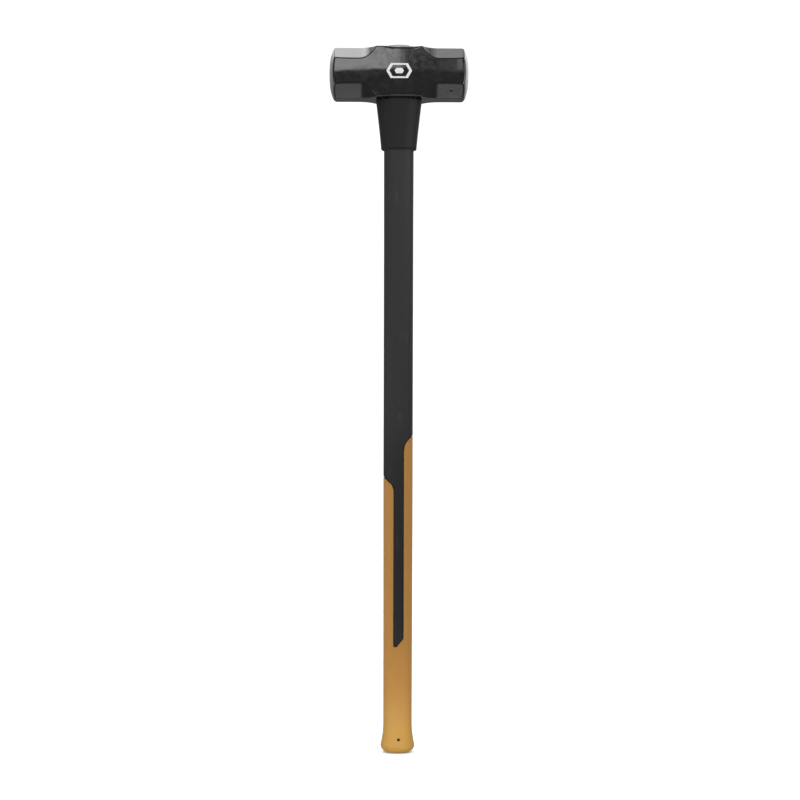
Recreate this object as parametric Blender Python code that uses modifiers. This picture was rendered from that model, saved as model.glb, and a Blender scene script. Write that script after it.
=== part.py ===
"""Sledgehammer: a forged double-faced head on a moulded fibreglass handle.

Metres, +Z up. The origin is the middle of the handle's butt, the handle runs
up +Z and the head's length lies along X. The handle is a pultruded core rod in
a black jacket, with a two-tongued grip moulded over its lower part and an
overstrike collar under the head. The core is bonded into the head's eye.
"""

import math

import bmesh
import bpy
from mathutils import Matrix, Vector

MM = 0.001

# Overall
OVERALL_LENGTH = 914 * MM  # butt to the cut end of the core: a 36 inch hammer
CORE_PROUD = 5.2 * MM  # how far the core stands above the head
FIT_GAP = 0.3 * MM  # clearance between pieces that touch

# Head
HEAD_LENGTH = 180 * MM  # crown to crown
HEAD_FLATS = 65.2 * MM  # across opposite flats, both ways
HEAD_TOP = OVERALL_LENGTH - CORE_PROUD
HEAD_MIDDLE = HEAD_TOP - HEAD_FLATS / 2
HEAD_UNDERSIDE = HEAD_TOP - HEAD_FLATS
CHEEK_ROUNDING = 2 * MM  # on the square middle's edges
SHOULDER_START = 36 * MM  # from the middle to the underside that is clear of the collar
CHAMFER_LEG = 16.5 * MM  # what a corner chamfer takes off each flat
CHAMFER_START = 52 * MM  # from the middle to where a chamfer is full
CHAMFER_RUNOUT_RADIUS = 29.5 * MM  # the scoop between chamfer and cheek
CROWN_RADIUS = 178 * MM  # of the striking faces
CROWN_EDGE = 25 * MM  # radius at which the ground bevel begins
BEVEL_SLOPE = math.radians(25)  # of the ground bevel, from the face's plane

# Eye: an oval hourglass, so that the cured bond is wedged both ways
EYE_MOUTH = (20.5 * MM, 15.6 * MM)  # half width and half depth at both mouths
EYE_WAIST = (17.5 * MM, 12.8 * MM)  # the same, halfway through the head

# Core rod
CORE_HALF = (14.5 * MM, 10.0 * MM)
CORE_BOTTOM = 12 * MM
CORE_EDGE = 0.8 * MM  # chamfer of its cut ends

# Bond and dam in the eye
DAM_HEIGHT = 5 * MM
BOND_RIM_DROP = 0.4 * MM  # the bond's edge lies this far below the head's top
BOND_CLIMB = 2.8 * MM  # and it climbs this high up the core
BOND_CLIMB_HALF = (16.2 * MM, 11.6 * MM)  # its outline where the climb begins

# Handle outline: half widths, and a depth that is a fixed share of the width
DEPTH_SHARE = 0.77
BUTT_ROUNDING = 13 * MM  # sideways
BUTT_RISE = 9.6 * MM  # the same rounding's height
BUTT_FLAT_HALF = 9 * MM  # half width of the flat on the butt
FLARE_START = math.radians(9.7)  # how far past the knob's widest the rounding goes
NECK_Z, NECK_HALF = 38.8 * MM, 18.6 * MM
SHAFT_STATIONS = ((330 * MM, 18.9 * MM), (660 * MM, 19.0 * MM))
SHAFT_TOP_HALF = 19.2 * MM
SPIGOT_HEIGHT = 4 * MM  # jacket end that centres the handle in the eye

# Overstrike collar
COLLAR_BOTTOM = 779 * MM
COLLAR_BOTTOM_HALF = (23.0 * MM, 18.6 * MM)
COLLAR_TOP_HALF = (29.7 * MM, 25.3 * MM)
COLLAR_EASE = 1.1  # above 1 the taper is slightly hollow
COLLAR_RIM = 2 * MM  # rounding of its lower rim

# Grip and the jacket under it
GRIP_WALL = 2.2 * MM
GRIP_FLOOR = 6 * MM  # thickness under the jacket's end
JACKET_BOTTOM = GRIP_FLOOR + FIT_GAP
LOCATING_HOLE_RADIUS = 1.8 * MM
LOCATING_HOLE = (1.3 * MM, 18.4 * MM)  # x and z

# The window that the grip leaves open, seen from the front
RIGHT_TONGUE_TIP = 408.8 * MM
RIGHT_SLOPE = math.radians(35)  # of the tongue's end
RIGHT_ROUNDING = 21 * MM  # where that slope meets the stripe
LEFT_TONGUE_TIP = 355.7 * MM
LEFT_SLOPE = math.radians(40)
LEFT_ROUNDING = 15 * MM
STRIPE_MIDDLE = 0.8 * MM  # its place across the handle
STRIPE_HALF = 6.6 * MM
STRIPE_BOTTOM = 132.4 * MM
STRIPE_SLOPE = math.radians(50)  # of its lower end, up to the right
STRIPE_RIGHT_ROUNDING = 7 * MM
STRIPE_LEFT_ROUNDING = 2.8 * MM
WINDOW_HALF = 26 * MM  # beyond the handle's sides
BARE_SHAFT_BOTTOM = 430 * MM  # the jacket is full size all round above here
WINDOW_TOP = 450 * MM
COVERED_JACKET_TOP = 470 * MM  # where the thinner, covered part ends inside the shaft

# Ovals: a superellipse a little squarer than an ellipse
SQUARENESS = 2 / 2.4

# Fineness of the faceted solids
RING_SEGMENTS = 40
LATHE_STEPS = 48
HOLE_SEGMENTS = 20
ARC_STEPS = 6  # on a rounding
EYE_STEPS = 8  # up the eye
SMALL_ARC_STEPS = 3

# Cutters pass the faces they open by this much
OVERSHOOT = 5 * MM


# --- Scene and objects -------------------------------------------------------


def clear_scene():
    for obj in list(bpy.data.objects):
        bpy.data.objects.remove(obj, do_unlink=True)


def new_collection(name):
    collection = bpy.data.collections.new(name)
    bpy.context.scene.collection.children.link(collection)
    return collection


def material(name, colour, roughness, metallic=0.0):
    made = bpy.data.materials.new(name)
    made.use_nodes = True
    shader = made.node_tree.nodes["Principled BSDF"]
    shader.inputs["Base Color"].default_value = (*colour, 1)
    shader.inputs["Roughness"].default_value = roughness
    shader.inputs["Metallic"].default_value = metallic
    return made


def object_from(bm, name):
    bmesh.ops.recalc_face_normals(bm, faces=bm.faces)
    mesh = bpy.data.meshes.new(name)
    bm.to_mesh(mesh)
    bm.free()
    return bpy.data.objects.new(name, mesh)


def as_part(obj, finish):
    """Shows obj as a piece of the hammer in that finish."""
    obj.data.materials.append(finish)
    parts.objects.link(obj)


def as_cutter(obj):
    """Keeps obj as a hidden helper for the Booleans."""
    obj.hide_render = True
    obj.display_type = "WIRE"
    cutters.objects.link(obj)
    return obj


def boolean(obj, operation, other):
    modifier = obj.modifiers.new(f"{operation.lower()} {other.name}", "BOOLEAN")
    modifier.operation = operation
    modifier.solver = "EXACT"
    modifier.object = other


# --- Shapes ------------------------------------------------------------------


def oval_ring(bm, z, half_width, half_depth):
    """Edges of a slightly squared oval at height z."""
    ring = bmesh.ops.create_circle(bm, segments=RING_SEGMENTS, radius=1)["verts"]
    for vert in ring:
        x, y = (math.copysign(abs(c) ** SQUARENESS, c) for c in vert.co.xy)
        vert.co = (half_width * x, half_depth * y, z)
    return list({edge for vert in ring for edge in vert.link_edges})


def oval_loft(name, stations):
    """A closed body through ovals given as (z, half width, half depth)."""
    bm = bmesh.new()
    rings = [oval_ring(bm, *station) for station in stations]
    for lower, upper in zip(rings, rings[1:]):
        for face in bmesh.ops.bridge_loops(bm, edges=lower + upper)["faces"]:
            face.smooth = True
    for end in (rings[0], rings[-1]):
        bmesh.ops.edgeloop_fill(bm, edges=end)
    return object_from(bm, name)


def rounded_outline(corners):
    """Points of a closed outline through corners given as (x, z, radius)."""
    points = []
    for index, (x, z, radius) in enumerate(corners):
        corner = Vector((x, z))
        before = (Vector(corners[index - 1][:2]) - corner).normalized()
        after = (Vector(corners[(index + 1) % len(corners)][:2]) - corner).normalized()
        if radius == 0:
            points.append(corner)
            continue
        half_angle = before.angle(after) / 2
        centre = corner + (before + after).normalized() * radius / math.sin(half_angle)
        spoke = corner + before * radius / math.tan(half_angle) - centre
        turn = math.copysign(math.pi - 2 * half_angle, before.cross(after))
        for step in range(ARC_STEPS + 1):
            rotation = Matrix.Rotation(-turn * step / ARC_STEPS, 2)
            points.append(centre + rotation @ spoke)
    return points


def plate(name, outline, half_thickness):
    """A flat outline in the XZ plane, thick along Y, as a mesh."""
    curve = bpy.data.curves.new(name, "CURVE")
    curve.dimensions = "2D"
    curve.fill_mode = "BOTH"
    curve.extrude = half_thickness
    spline = curve.splines.new("POLY")
    spline.use_smooth = False
    spline.points.add(len(outline) - 1)
    for point, (x, z) in zip(spline.points, outline):
        point.co = (x, z, 0, 1)
    spline.use_cyclic_u = True
    drawn = bpy.data.objects.new(name, curve)
    drawn.rotation_euler.x = math.pi / 2
    return as_mesh(drawn)


def as_mesh(drawn):
    """The mesh of a curve object, its caps welded on, in the curve's place."""
    bpy.context.scene.collection.objects.link(drawn)
    bpy.context.view_layer.update()
    graph = bpy.context.evaluated_depsgraph_get()
    mesh = bpy.data.meshes.new_from_object(drawn.evaluated_get(graph))
    bm = bmesh.new()
    bm.from_mesh(mesh)
    bmesh.ops.remove_doubles(bm, verts=bm.verts, dist=0.01 * MM)
    bmesh.ops.recalc_face_normals(bm, faces=bm.faces)
    bm.to_mesh(mesh)
    bm.free()
    solid = bpy.data.objects.new(drawn.name, mesh)
    solid.matrix_world = drawn.matrix_world
    bpy.data.objects.remove(drawn)
    return solid


def turned(name, profile):
    """A body turned about X through (along, radius) points."""
    bm = bmesh.new()
    verts = [bm.verts.new((radius, 0, along)) for along, radius in profile]
    for pair in zip(verts, verts[1:]):
        bm.edges.new(pair)
    mesh = bpy.data.meshes.new(name)
    bm.to_mesh(mesh)
    bm.free()
    obj = bpy.data.objects.new(name, mesh)
    obj.rotation_euler.y = math.pi / 2
    screw = obj.modifiers.new("turn", "SCREW")
    screw.steps = screw.render_steps = LATHE_STEPS
    screw.use_merge_vertices = True
    screw.merge_threshold = 0.01 * MM
    return obj


# --- Handle outline ----------------------------------------------------------


def handle_profile():
    """(z, half width) up the handle: rounded butt, flared knob, slim shaft."""
    rounding = []
    for step in range(ARC_STEPS + 1):
        angle = -math.pi / 2 + (math.pi / 2 + FLARE_START) * step / ARC_STEPS
        z = BUTT_RISE * (1 + math.sin(angle))
        rounding.append((z, BUTT_FLAT_HALF + BUTT_ROUNDING * math.cos(angle)))
    knob_z, knob_half = rounding[-1]
    flare = []
    for step in range(1, ARC_STEPS):
        rise = step / ARC_STEPS
        z = knob_z + (NECK_Z - knob_z) * rise
        flare.append((z, NECK_HALF + (knob_half - NECK_HALF) * (1 - rise) ** 2))
    top = (HEAD_UNDERSIDE + SPIGOT_HEIGHT, SHAFT_TOP_HALF)
    return [*rounding, *flare, (NECK_Z, NECK_HALF), *SHAFT_STATIONS, top]


def half_width_at(z):
    profile = handle_profile()
    for (low, half_low), (high, half_high) in zip(profile, profile[1:]):
        if low <= z <= high:
            return half_low + (half_high - half_low) * (z - low) / (high - low)
    return profile[-1][1]


def handle_stations(bottom, top, offset=0.0):
    """Loft stations of the handle's outline between two heights, offset outwards."""
    between = [z for z, _ in handle_profile() if bottom < z < top]
    stations = []
    for z in (bottom, *between, top):
        half = half_width_at(z)
        stations.append((z, half + offset, half * DEPTH_SHARE + offset))
    return stations


def window_outline(inset):
    """The part of the handle's front that the grip leaves open, drawn in by inset."""
    left = STRIPE_MIDDLE - STRIPE_HALF
    right = STRIPE_MIDDLE + STRIPE_HALF

    def edge_height(x, start, slope):
        """Height at x of an edge that slopes up from start, moved in by inset."""
        start_x, start_z = start
        return start_z + (x - start_x) * math.tan(slope) + inset / math.cos(slope)

    def right_tongue(x):
        tip = (half_width_at(RIGHT_TONGUE_TIP), RIGHT_TONGUE_TIP)
        return edge_height(x, tip, RIGHT_SLOPE)

    def left_tongue(x):
        tip = (half_width_at(LEFT_TONGUE_TIP), LEFT_TONGUE_TIP)
        return edge_height(-x, tip, LEFT_SLOPE)

    def stripe_end(x):
        return edge_height(x, (left, STRIPE_BOTTOM), STRIPE_SLOPE)

    near, far = left + inset, right - inset
    return rounded_outline([
        (WINDOW_HALF, right_tongue(WINDOW_HALF), 0),
        (WINDOW_HALF, WINDOW_TOP, 0),
        (-WINDOW_HALF, WINDOW_TOP, 0),
        (-WINDOW_HALF, left_tongue(-WINDOW_HALF), 0),
        (near, left_tongue(near), LEFT_ROUNDING + inset),
        (near, stripe_end(near), STRIPE_LEFT_ROUNDING - inset),
        (far, stripe_end(far), STRIPE_RIGHT_ROUNDING - inset),
        (far, right_tongue(far), RIGHT_ROUNDING + inset),
    ])


# --- Head --------------------------------------------------------------------


def crown_envelope():
    """The turned shape of both striking faces, wider than the head."""
    half = HEAD_LENGTH / 2
    crown = []
    for step in range(ARC_STEPS + 1):
        radius = CROWN_EDGE * step / ARC_STEPS
        drop = CROWN_RADIUS - math.sqrt(CROWN_RADIUS**2 - radius**2)
        crown.append((half - drop, radius))
    edge_along, edge_radius = crown[-1]
    outside = HEAD_FLATS
    rim = (edge_along - (outside - edge_radius) * math.tan(BEVEL_SLOPE), outside)
    near = [*crown, rim]
    far = [(-along, radius) for along, radius in reversed(near)]
    envelope = turned("crown_envelope", near + far)
    envelope.location.z = HEAD_MIDDLE
    return as_cutter(envelope)


def chamfer_cutters():
    """Eight cutters, one for each end of the block's four long edges."""
    reach = HEAD_LENGTH / 2 + OVERSHOOT
    plane = (HEAD_FLATS - CHAMFER_LEG) / math.sqrt(2)  # from the head's axis
    outside = HEAD_FLATS
    start = CHAMFER_START - CHAMFER_RUNOUT_RADIUS
    outline = rounded_outline([
        (reach, plane, 0),
        (reach, outside, 0),
        (start, outside, 0),
        (start, plane, CHAMFER_RUNOUT_RADIUS),
    ])
    made = []
    for end in ("right", "left"):
        for corner in range(4):
            shape = outline
            if end == "left":
                shape = [Vector((-x, z)) for x, z in outline]
            cutter = plate(f"chamfer_{end}_{corner}", shape, CHAMFER_LEG)
            about_x = Matrix.Rotation(math.radians(45 + 90 * corner), 4, "X")
            middle = Matrix.Translation((0, 0, HEAD_MIDDLE))
            cutter.matrix_world = middle @ about_x @ cutter.matrix_world
            made.append(as_cutter(cutter))
    return made


def eye_half(z, inset=0.0):
    """Half width and half depth of the eye at height z."""
    share = abs(z - HEAD_MIDDLE) / (HEAD_FLATS / 2)
    ease = 1 - math.cos(min(share, 1) * math.pi / 2)
    return [
        waist + (mouth - waist) * ease - inset
        for waist, mouth in zip(EYE_WAIST, EYE_MOUTH)
    ]


def eye_stations(bottom, top, inset=0.0, steps=EYE_STEPS):
    heights = [bottom + (top - bottom) * step / steps for step in range(steps + 1)]
    return [(z, *eye_half(z, inset)) for z in heights]


def head_block():
    """The squared bar, its long flats divided where the shoulders leave the collar."""
    bm = bmesh.new()
    size = Matrix.Diagonal((HEAD_LENGTH, HEAD_FLATS, HEAD_FLATS, 1))
    bmesh.ops.create_cube(bm, size=1, matrix=size)
    for x in (-SHOULDER_START, SHOULDER_START):
        whole = [*bm.verts, *bm.edges, *bm.faces]
        bmesh.ops.bisect_plane(bm, geom=whole, plane_co=(x, 0, 0), plane_no=(1, 0, 0))
    return object_from(bm, "hammer_head")


def build_head(finish):
    head = head_block()
    head.location.z = HEAD_MIDDLE
    rounding = head.modifiers.new("cheek rounding", "BEVEL")
    rounding.width = CHEEK_ROUNDING
    rounding.segments = 2
    boolean(head, "INTERSECT", crown_envelope())
    for cutter in chamfer_cutters():
        boolean(head, "DIFFERENCE", cutter)
    eye = oval_loft("eye", eye_stations(HEAD_UNDERSIDE - OVERSHOOT, HEAD_TOP + OVERSHOOT))
    boolean(head, "DIFFERENCE", as_cutter(eye))
    as_part(head, finish)


# --- Core, bond and dam ------------------------------------------------------


def core_stations(bottom, top, offset=0.0, edge=0.0):
    width, depth = (half + offset for half in CORE_HALF)
    full = [(bottom + edge, width, depth), (top - edge, width, depth)]
    if edge == 0:
        return full
    low = (bottom, width - edge, depth - edge)
    high = (top, width - edge, depth - edge)
    return [low, *full, high]


def core_bore(name, bottom, top):
    """A cutter a fit gap larger than the core rod."""
    return as_cutter(oval_loft(name, core_stations(bottom, top, FIT_GAP)))


def build_core(finish):
    stations = core_stations(CORE_BOTTOM, OVERALL_LENGTH, edge=CORE_EDGE)
    as_part(oval_loft("core_rod", stations), finish)


def build_dam(finish):
    """The ring that closes the eye's lower mouth while the bond is poured."""
    bottom = HEAD_UNDERSIDE + SPIGOT_HEIGHT + FIT_GAP
    top = bottom + DAM_HEIGHT
    dam = oval_loft("eye_dam_ring", eye_stations(bottom, top, FIT_GAP, steps=1))
    boolean(dam, "DIFFERENCE", core_bore("dam_bore", bottom - OVERSHOOT, top + OVERSHOOT))
    as_part(dam, finish)


def build_bond(finish):
    bottom = HEAD_UNDERSIDE + SPIGOT_HEIGHT + DAM_HEIGHT + 2 * FIT_GAP
    rim = HEAD_TOP - BOND_RIM_DROP
    stations = eye_stations(bottom, rim, FIT_GAP)
    _, rim_width, rim_depth = stations[-1]
    climb_width, climb_depth = BOND_CLIMB_HALF
    for step in range(1, SMALL_ARC_STEPS + 1):
        share = step / SMALL_ARC_STEPS
        stations.append((
            rim + BOND_CLIMB * share**2,
            rim_width + (climb_width - rim_width) * share,
            rim_depth + (climb_depth - rim_depth) * share,
        ))
    bond = oval_loft("eye_bond", stations)
    bore = core_bore("bond_bore", bottom - OVERSHOOT, OVERALL_LENGTH + OVERSHOOT)
    boolean(bond, "DIFFERENCE", bore)
    as_part(bond, finish)


# --- Collar, jacket and grip -------------------------------------------------


def build_collar(finish):
    top = HEAD_UNDERSIDE - FIT_GAP
    stations = []
    for step in range(SMALL_ARC_STEPS + 1):
        angle = math.pi / 2 * step / SMALL_ARC_STEPS
        inset = COLLAR_RIM * (1 - math.sin(angle))
        z = COLLAR_BOTTOM + COLLAR_RIM * (1 - math.cos(angle))
        stations.append((z, *(half - inset for half in COLLAR_BOTTOM_HALF)))
    shoulder = stations[-1][0]
    for step in range(1, ARC_STEPS + 1):
        share = step / ARC_STEPS
        halves = (
            low + (high - low) * share**COLLAR_EASE
            for low, high in zip(COLLAR_BOTTOM_HALF, COLLAR_TOP_HALF)
        )
        stations.append((shoulder + (top - shoulder) * share, *halves))
    collar = oval_loft("overstrike_collar", stations)
    bore = handle_stations(COLLAR_BOTTOM - OVERSHOOT, top + OVERSHOOT, FIT_GAP)
    boolean(collar, "DIFFERENCE", as_cutter(oval_loft("collar_bore", bore)))
    as_part(collar, finish)


def locating_hole(name):
    """The hole left by the pin that centres the core in the mould, along Y."""
    bm = bmesh.new()
    bmesh.ops.create_cone(
        bm,
        cap_ends=True,
        segments=HOLE_SEGMENTS,
        radius1=LOCATING_HOLE_RADIUS,
        radius2=LOCATING_HOLE_RADIUS,
        depth=2 * WINDOW_HALF,
        matrix=Matrix.Rotation(math.pi / 2, 4, "X"),
    )
    hole = object_from(bm, name)
    x, z = LOCATING_HOLE
    hole.location = (x, 0, z)
    return as_cutter(hole)


def build_jacket(finish):
    """The black jacket: full size where it shows, thinner under the grip."""
    top = HEAD_UNDERSIDE + SPIGOT_HEIGHT
    covered = handle_stations(JACKET_BOTTOM, COVERED_JACKET_TOP, -GRIP_WALL - FIT_GAP)
    jacket = oval_loft("shaft_jacket", covered)
    bare = handle_stations(BARE_SHAFT_BOTTOM, top)
    boolean(jacket, "UNION", as_cutter(oval_loft("bare_shaft", bare)))

    # In the grip's window the jacket stands proud, flush with the grip
    flush = handle_stations(STRIPE_BOTTOM - OVERSHOOT, WINDOW_TOP - OVERSHOOT)
    rib = as_cutter(oval_loft("window_rib", flush))
    window = as_cutter(plate("rib_window", window_outline(FIT_GAP), WINDOW_HALF))
    boolean(rib, "INTERSECT", window)
    boolean(jacket, "UNION", rib)

    bore = core_bore("jacket_bore", CORE_BOTTOM - FIT_GAP, top + OVERSHOOT)
    boolean(jacket, "DIFFERENCE", bore)
    boolean(jacket, "DIFFERENCE", locating_hole("jacket_locating_hole"))
    as_part(jacket, finish)


def build_grip(finish):
    grip = oval_loft("grip_sleeve", handle_stations(0, BARE_SHAFT_BOTTOM))
    cavity = handle_stations(GRIP_FLOOR, WINDOW_TOP, -GRIP_WALL)
    boolean(grip, "DIFFERENCE", as_cutter(oval_loft("grip_cavity", cavity)))
    window = as_cutter(plate("grip_window", window_outline(0), WINDOW_HALF))
    boolean(grip, "DIFFERENCE", window)
    boolean(grip, "DIFFERENCE", locating_hole("grip_locating_hole"))
    as_part(grip, finish)


clear_scene()
parts = new_collection("sledgehammer")
cutters = new_collection("cutters")

build_head(material("forged_black", (0.018, 0.018, 0.019), 0.32, 0.3))
build_core(material("fibreglass", (0.55, 0.58, 0.44), 0.45))
build_dam(material("dam_rubber", (0.03, 0.03, 0.03), 0.85))
build_bond(material("cured_bond", (0.46, 0.50, 0.44), 0.25))
build_collar(material("collar_black", (0.026, 0.026, 0.026), 0.55))
build_jacket(material("jacket_black", (0.035, 0.035, 0.036), 0.5))
build_grip(material("grip_ochre", (0.50, 0.26, 0.06), 0.6))
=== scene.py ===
"""Looks of the sledgehammer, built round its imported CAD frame.

Each CAD piece that shows is replaced by a finer mesh in the same place: the
head as a forging with soft edges and ground faces, the handle's jacket, grip
and collar as mouldings with eased edges, and the core and bond in the eye. An
emblem is printed on the front cheek. The dam ring, hidden under the bond, keeps
its mesh and takes the jacket's material. Everything is in metres in the row
frame: the butt at the origin, +Z up the handle, the head along X, the front
towards -Y.
"""

import math

import bmesh
import bpy
import numpy as np
from mathutils import Matrix, Vector, noise


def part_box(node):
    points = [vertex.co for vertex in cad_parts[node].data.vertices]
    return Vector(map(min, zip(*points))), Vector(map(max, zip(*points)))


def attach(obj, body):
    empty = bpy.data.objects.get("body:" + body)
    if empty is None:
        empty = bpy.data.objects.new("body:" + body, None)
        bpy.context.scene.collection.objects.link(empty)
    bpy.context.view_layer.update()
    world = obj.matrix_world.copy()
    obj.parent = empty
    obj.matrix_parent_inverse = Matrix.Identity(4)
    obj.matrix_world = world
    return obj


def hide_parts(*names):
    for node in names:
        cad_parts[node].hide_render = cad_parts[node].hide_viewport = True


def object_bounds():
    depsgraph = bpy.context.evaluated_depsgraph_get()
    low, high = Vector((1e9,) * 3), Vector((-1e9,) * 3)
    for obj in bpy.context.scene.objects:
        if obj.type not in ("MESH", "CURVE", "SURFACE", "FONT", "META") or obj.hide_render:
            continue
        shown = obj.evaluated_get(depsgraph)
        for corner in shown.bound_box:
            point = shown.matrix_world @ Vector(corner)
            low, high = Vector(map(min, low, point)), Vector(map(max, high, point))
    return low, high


MM = 0.001

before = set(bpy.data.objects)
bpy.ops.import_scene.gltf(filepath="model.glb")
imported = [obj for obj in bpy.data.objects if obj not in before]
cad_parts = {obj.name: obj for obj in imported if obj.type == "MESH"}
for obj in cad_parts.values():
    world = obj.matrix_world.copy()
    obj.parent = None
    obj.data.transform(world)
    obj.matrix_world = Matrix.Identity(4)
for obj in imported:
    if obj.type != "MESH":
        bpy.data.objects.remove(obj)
cad_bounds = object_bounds()

# --- Sizes the frame gives ----------------------------------------------------

HEAD_LOW, HEAD_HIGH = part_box("hammer_head")
HEAD_MIDDLE = (HEAD_LOW.z + HEAD_HIGH.z) / 2
HALF_LENGTH = (HEAD_HIGH.x - HEAD_LOW.x) / 2
HALF_FLATS = (HEAD_HIGH.z - HEAD_LOW.z) / 2

COLLAR_LOW, COLLAR_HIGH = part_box("overstrike_collar")
JACKET_LOW, JACKET_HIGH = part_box("shaft_jacket")
GRIP_LOW, GRIP_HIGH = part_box("grip_sleeve")
CORE_LOW, CORE_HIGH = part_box("core_rod")
BOND_LOW, BOND_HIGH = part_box("eye_bond")

# --- Sizes shared with the CAD's design ---------------------------------------

FIT_GAP = 0.3 * MM
OVERSHOOT = 5 * MM  # how far a cutter passes the face it opens
OUTSIDE = 30 * MM  # well clear of the handle, in front and behind

CHAMFER_LEG = 16.5 * MM
CHAMFER_START = 52 * MM  # from the middle to where a chamfer is full
RUNOUT_RADIUS = 29.5 * MM
CROWN_RADIUS = 178 * MM
CROWN_EDGE = 25 * MM  # radius at which the ground bevel begins
BEVEL_SLOPE = math.radians(25)

EYE_MOUTH = np.array((20.5, 15.6)) * MM
EYE_WAIST = np.array((17.5, 12.8)) * MM
EYE_LEAD_IN = 1.2 * MM  # rounding of its mouths

DEPTH_SHARE = 0.77  # the handle's depth as a share of its width
BUTT_ROUNDING = 13 * MM  # sideways
BUTT_RISE = 9.6 * MM  # the same rounding's height
BUTT_FLAT_HALF = 9 * MM
FLARE_START = math.radians(9.7)
NECK = (38.8 * MM, 18.6 * MM)  # height and half width above the knob
SHAFT = ((330 * MM, 18.9 * MM), (660 * MM, 19.0 * MM))
SQUARENESS = 2 / 2.4  # exponent of the handle's superellipse

COLLAR_RIM = 2 * MM  # rounding of its lower end
COLLAR_EDGE = 0.8 * MM  # and of its upper end
COLLAR_BOTTOM_HALF = np.array((23.0, 18.6)) * MM
COLLAR_HOLLOW = 1.1  # above 1, its sides are drawn in between the two ends

GRIP_WALL = 2.2 * MM
GRIP_FLOOR = 6 * MM
RIGHT_SLOPE = math.radians(35)
RIGHT_ROUNDING = 21 * MM
RIGHT_TONGUE_TIP = 408.8 * MM
LEFT_TONGUE_TIP = 355.7 * MM
LEFT_SLOPE = math.radians(40)
LEFT_ROUNDING = 15 * MM
STRIPE_MIDDLE = 0.8 * MM
STRIPE_HALF = 6.6 * MM
STRIPE_BOTTOM = 132.4 * MM
STRIPE_SLOPE = math.radians(50)
STRIPE_RIGHT_ROUNDING = 7 * MM
STRIPE_LEFT_ROUNDING = 2.8 * MM
HOLE_RADIUS = 1.8 * MM
HOLE_PLACE = (1.3 * MM, 18.4 * MM)  # x and z
HOLE_FLOOR = -10.9 * MM  # just short of the core


# --- Meshes -------------------------------------------------------------------


def new_object(name, data):
    made = bpy.data.objects.new(name, data)
    bpy.context.scene.collection.objects.link(made)
    return made


def cleaned(bm, name):
    """An object from bm, welded, with its faces pointing out and smooth."""
    bmesh.ops.remove_doubles(bm, verts=bm.verts, dist=0.005 * MM)
    bmesh.ops.recalc_face_normals(bm, faces=bm.faces)
    for face in bm.faces:
        face.smooth = True
    mesh = bpy.data.meshes.new(name)
    bm.to_mesh(mesh)
    bm.free()
    return new_object(name, mesh)


def skin(name, rings, ends="capped", marks=None):
    """A body through rings of points.

    Its end rings are "capped", "joined" to each other, or "left" when nothing is to be closed.
    marks maps a name to a number for each point, kept on the mesh for its material.
    """
    bm = bmesh.new()
    layers = {mark: bm.verts.layers.float.new(mark) for mark in marks or {}}
    rows = [[bm.verts.new(point) for point in ring] for ring in rings]
    for mark, layer in layers.items():
        for vert, value in zip(bm.verts, np.ravel(marks[mark])):
            vert[layer] = value
    pairs = list(zip(rows, rows[1:]))
    if ends == "joined":
        pairs.append((rows[-1], rows[0]))
    for lower, upper in pairs:
        for index, vert in enumerate(lower):
            before = index - 1
            bm.faces.new((lower[before], vert, upper[index], upper[before]))
    if ends == "capped":
        bm.faces.new(rows[0])
        bm.faces.new(rows[-1])
    return cleaned(bm, name)


def oval(z, half_width, half_depth, segments=128):
    """Points of a slightly squared oval at height z."""
    turn = np.arange(segments) * 2 * math.pi / segments
    x = np.sign(np.cos(turn)) * np.abs(np.cos(turn)) ** SQUARENESS
    y = np.sign(np.sin(turn)) * np.abs(np.sin(turn)) ** SQUARENESS
    return np.column_stack((half_width * x, half_depth * y, np.full(segments, z)))


def rounded_outline(corners, steps=10):
    """Points of a closed outline round corners given as (x, z, radius)."""
    points = []
    for index, (x, z, radius) in enumerate(corners):
        corner = Vector((x, z))
        before = (Vector(corners[index - 1][:2]) - corner).normalized()
        after = (Vector(corners[(index + 1) % len(corners)][:2]) - corner).normalized()
        if radius == 0:
            points.append(corner)
            continue
        half_angle = before.angle(after) / 2
        centre = corner + (before + after).normalized() * radius / math.sin(half_angle)
        spoke = corner + before * radius / math.tan(half_angle) - centre
        turn = math.copysign(math.pi - 2 * half_angle, before.cross(after))
        for step in range(steps + 1):
            points.append(centre + Matrix.Rotation(-turn * step / steps, 2) @ spoke)
    return points


def prism(name, outline, near=-OUTSIDE, far=OUTSIDE):
    """A solid with an outline in the XZ plane, from y = near to y = far."""
    bm = bmesh.new()
    front = [bm.verts.new((x, near, z)) for x, z in outline]
    back = [bm.verts.new((x, far, z)) for x, z in outline]
    for index in range(len(outline)):
        before = index - 1
        bm.faces.new((front[before], front[index], back[index], back[before]))
    bm.faces.new(front)
    bm.faces.new(back)
    return cleaned(bm, name)


def pin(name, place, radius, near, far, segments=48):
    """A round rod along Y."""
    x, z = place
    turn = np.arange(segments) * 2 * math.pi / segments
    outline = np.column_stack((x + radius * np.cos(turn), z + radius * np.sin(turn)))
    return prism(name, outline, near, far)


def combine(obj, operation, *others):
    """Adds, subtracts or intersects other solids, which are used up."""
    for other in others:
        modifier = obj.modifiers.new(operation, "BOOLEAN")
        modifier.operation = operation
        modifier.solver = "EXACT"
        modifier.object = other
        settle(obj)
        bpy.data.objects.remove(other)
    return obj


def settle(obj):
    """Makes obj's modifiers part of its mesh."""
    bpy.context.view_layer.update()
    graph = bpy.context.evaluated_depsgraph_get()
    obj.data = bpy.data.meshes.new_from_object(obj.evaluated_get(graph))
    obj.modifiers.clear()


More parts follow.
